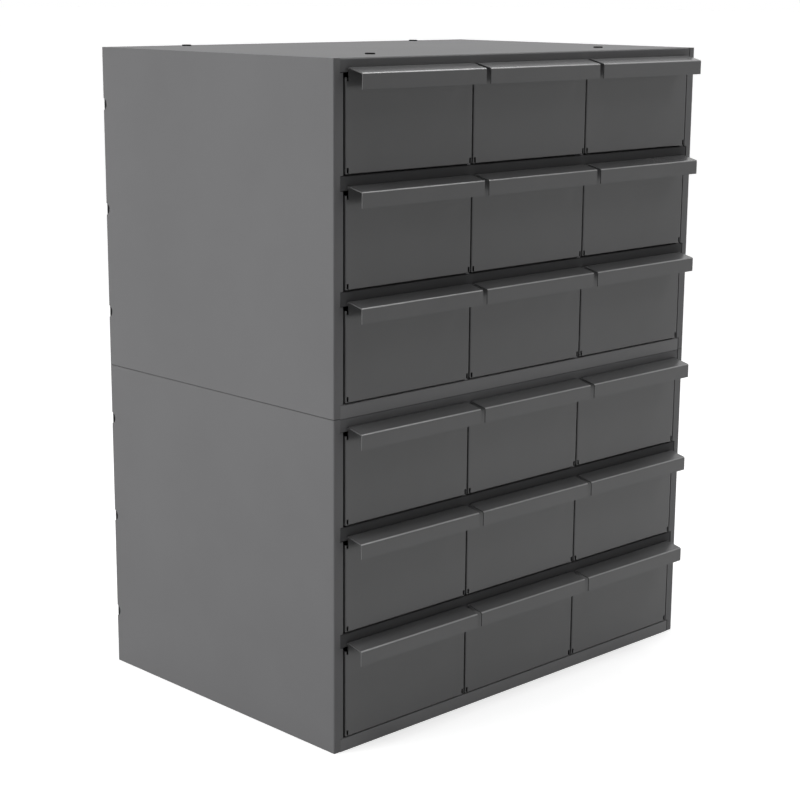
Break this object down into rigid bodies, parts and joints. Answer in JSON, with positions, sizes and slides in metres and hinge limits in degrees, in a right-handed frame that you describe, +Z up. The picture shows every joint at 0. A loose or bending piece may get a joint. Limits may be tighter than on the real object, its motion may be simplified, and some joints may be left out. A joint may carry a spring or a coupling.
{
  "type": "small parts cabinet",
  "caption": "Free-standing sheet-steel small parts cabinet of stacked drawer units; each sliding drawer has a full-width folded pull and an adjustable divider.",
  "frame": {"origin": "middle of the case's base, on the surface that it stands on", "axes": "+X to the right seen from the front, +Y to the back, +Z up; drawers open towards -Y"},
  "size_m": [0.4382, 0.313, 0.5535],
  "materials": {
    "case_paint": "satin dark grey powder coat",
    "drawer_paint": "satin dark grey powder coat",
    "divider_paint": "satin dark grey powder coat",
    "plug_plastic": "matt black plastic",
    "zinc": "bright zinc plated"
  },
  "bodies": {
    "case": {"lower_case_wrap": "case_paint", "lower_floor_pan": "case_paint", "lower_floor_stiffeners": "case_paint", "lower_shelf_1": "case_paint", "lower_shelf_2": "case_paint", "lower_slide_guides_bottom": "case_paint", "lower_slide_guides_middle": "case_paint", "lower_slide_guides_top": "case_paint", "lower_top_pan": "case_paint", "stack_bolts": "zinc", "stack_nuts": "zinc", "stack_washers": "zinc", "top_hole_plugs": "plug_plastic", "upper_case_wrap": "case_paint", "upper_floor_pan": "case_paint", "upper_floor_stiffeners": "case_paint", "upper_shelf_1": "case_paint", "upper_shelf_2": "case_paint", "upper_slide_guides_bottom": "case_paint", "upper_slide_guides_middle": "case_paint", "upper_slide_guides_top": "case_paint", "upper_top_pan": "case_paint"},
    "lower_drawer_top_left": {"lower_drawer_top_left": "drawer_paint", "lower_divider_top_left": "divider_paint"},
    "lower_drawer_top_centre": {"lower_drawer_top_centre": "drawer_paint", "lower_divider_top_centre": "divider_paint"},
    "lower_drawer_top_right": {"lower_drawer_top_right": "drawer_paint", "lower_divider_top_right": "divider_paint"},
    "lower_drawer_middle_left": {"lower_drawer_middle_left": "drawer_paint", "lower_divider_middle_left": "divider_paint"},
    "lower_drawer_middle_centre": {"lower_drawer_middle_centre": "drawer_paint", "lower_divider_middle_centre": "divider_paint"},
    "lower_drawer_middle_right": {"lower_drawer_middle_right": "drawer_paint", "lower_divider_middle_right": "divider_paint"},
    "lower_drawer_bottom_left": {"lower_drawer_bottom_left": "drawer_paint", "lower_divider_bottom_left": "divider_paint"},
    "lower_drawer_bottom_centre": {"lower_drawer_bottom_centre": "drawer_paint", "lower_divider_bottom_centre": "divider_paint"},
    "lower_drawer_bottom_right": {"lower_drawer_bottom_right": "drawer_paint", "lower_divider_bottom_right": "divider_paint"},
    "upper_drawer_top_left": {"upper_drawer_top_left": "drawer_paint", "upper_divider_top_left": "divider_paint"},
    "upper_drawer_top_centre": {"upper_drawer_top_centre": "drawer_paint", "upper_divider_top_centre": "divider_paint"},
    "upper_drawer_top_right": {"upper_drawer_top_right": "drawer_paint", "upper_divider_top_right": "divider_paint"},
    "upper_drawer_middle_left": {"upper_drawer_middle_left": "drawer_paint", "upper_divider_middle_left": "divider_paint"},
    "upper_drawer_middle_centre": {"upper_drawer_middle_centre": "drawer_paint", "upper_divider_middle_centre": "divider_paint"},
    "upper_drawer_middle_right": {"upper_drawer_middle_right": "drawer_paint", "upper_divider_middle_right": "divider_paint"},
    "upper_drawer_bottom_left": {"upper_drawer_bottom_left": "drawer_paint", "upper_divider_bottom_left": "divider_paint"},
    "upper_drawer_bottom_centre": {"upper_drawer_bottom_centre": "drawer_paint", "upper_divider_bottom_centre": "divider_paint"},
    "upper_drawer_bottom_right": {"upper_drawer_bottom_right": "drawer_paint", "upper_divider_bottom_right": "divider_paint"}
  },
  "joints": [
    {"name": "lower_drawer_top_left_slide", "type": "slide", "parent": "case", "child": "lower_drawer_top_left", "axis": [0, -1, 0], "range_m": [0, 0.225]},
    {"name": "lower_drawer_top_centre_slide", "type": "slide", "parent": "case", "child": "lower_drawer_top_centre", "axis": [0, -1, 0], "range_m": [0, 0.225]},
    {"name": "lower_drawer_top_right_slide", "type": "slide", "parent": "case", "child": "lower_drawer_top_right", "axis": [0, -1, 0], "range_m": [0, 0.225]},
    {"name": "lower_drawer_middle_left_slide", "type": "slide", "parent": "case", "child": "lower_drawer_middle_left", "axis": [0, -1, 0], "range_m": [0, 0.225]},
    {"name": "lower_drawer_middle_centre_slide", "type": "slide", "parent": "case", "child": "lower_drawer_middle_centre", "axis": [0, -1, 0], "range_m": [0, 0.225]},
    {"name": "lower_drawer_middle_right_slide", "type": "slide", "parent": "case", "child": "lower_drawer_middle_right", "axis": [0, -1, 0], "range_m": [0, 0.225]},
    {"name": "lower_drawer_bottom_left_slide", "type": "slide", "parent": "case", "child": "lower_drawer_bottom_left", "axis": [0, -1, 0], "range_m": [0, 0.225]},
    {"name": "lower_drawer_bottom_centre_slide", "type": "slide", "parent": "case", "child": "lower_drawer_bottom_centre", "axis": [0, -1, 0], "range_m": [0, 0.225]},
    {"name": "lower_drawer_bottom_right_slide", "type": "slide", "parent": "case", "child": "lower_drawer_bottom_right", "axis": [0, -1, 0], "range_m": [0, 0.225]},
    {"name": "upper_drawer_top_left_slide", "type": "slide", "parent": "case", "child": "upper_drawer_top_left", "axis": [0, -1, 0], "range_m": [0, 0.225]},
    {"name": "upper_drawer_top_centre_slide", "type": "slide", "parent": "case", "child": "upper_drawer_top_centre", "axis": [0, -1, 0], "range_m": [0, 0.225]},
    {"name": "upper_drawer_top_right_slide", "type": "slide", "parent": "case", "child": "upper_drawer_top_right", "axis": [0, -1, 0], "range_m": [0, 0.225]},
    {"name": "upper_drawer_middle_left_slide", "type": "slide", "parent": "case", "child": "upper_drawer_middle_left", "axis": [0, -1, 0], "range_m": [0, 0.225]},
    {"name": "upper_drawer_middle_centre_slide", "type": "slide", "parent": "case", "child": "upper_drawer_middle_centre", "axis": [0, -1, 0], "range_m": [0, 0.225]},
    {"name": "upper_drawer_middle_right_slide", "type": "slide", "parent": "case", "child": "upper_drawer_middle_right", "axis": [0, -1, 0], "range_m": [0, 0.225]},
    {"name": "upper_drawer_bottom_left_slide", "type": "slide", "parent": "case", "child": "upper_drawer_bottom_left", "axis": [0, -1, 0], "range_m": [0, 0.225]},
    {"name": "upper_drawer_bottom_centre_slide", "type": "slide", "parent": "case", "child": "upper_drawer_bottom_centre", "axis": [0, -1, 0], "range_m": [0, 0.225]},
    {"name": "upper_drawer_bottom_right_slide", "type": "slide", "parent": "case", "child": "upper_drawer_bottom_right", "axis": [0, -1, 0], "range_m": [0, 0.225]}
  ]
}
